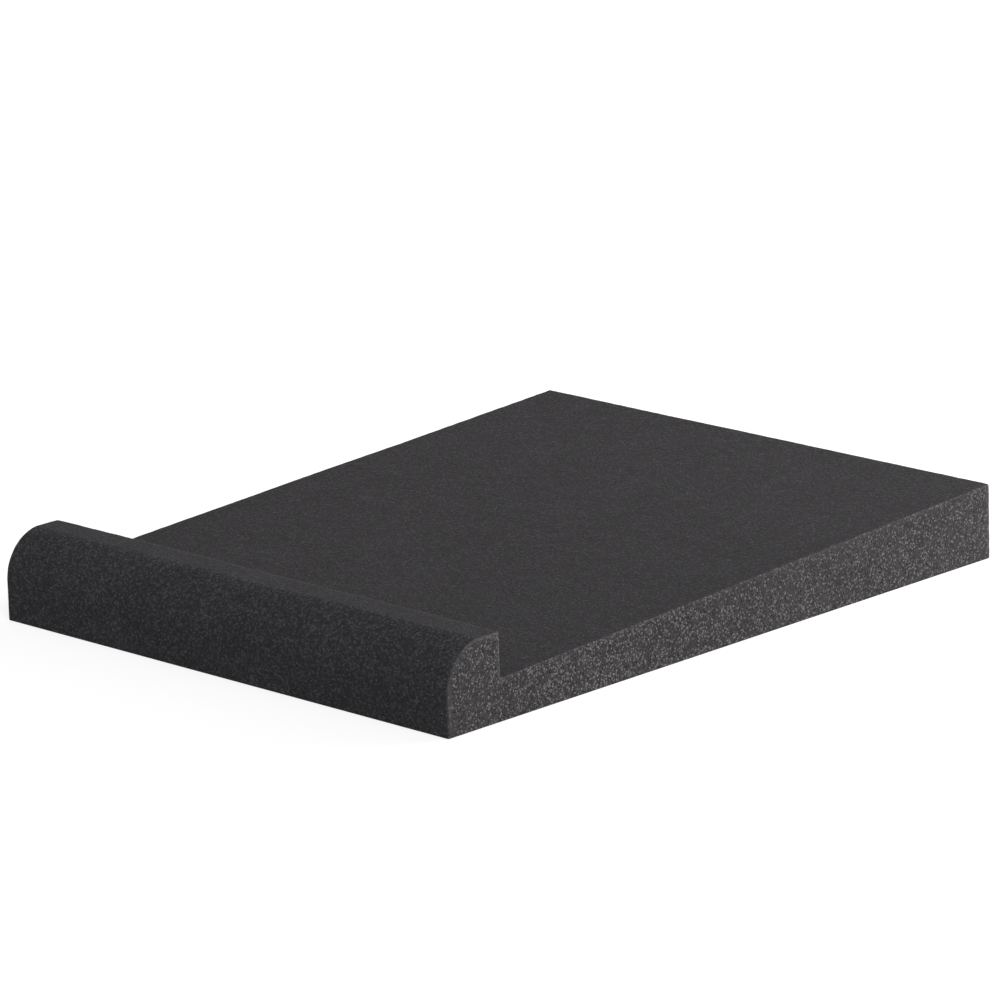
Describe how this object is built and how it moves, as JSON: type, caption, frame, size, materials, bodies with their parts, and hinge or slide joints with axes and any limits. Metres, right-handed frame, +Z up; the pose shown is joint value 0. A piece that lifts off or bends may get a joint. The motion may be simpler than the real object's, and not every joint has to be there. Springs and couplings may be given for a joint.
{
  "type": "speaker isolation pad",
  "caption": "Wedge-shaped foam pad with a raised front lip, which stands under a loudspeaker, tilts it slightly and keeps its vibration out of the shelf.",
  "frame": {"origin": "middle of the underside, at the height of the surface that the pad lies on", "axes": "+X along the lip, +Y from the lip to the rear, +Z up"},
  "size_m": [0.26, 0.33, 0.0375],
  "materials": {
    "foam": "dull charcoal open-cell foam with fine cells"
  },
  "bodies": {
    "root": {"foam_pad": "foam"}
  },
  "joints": []
}
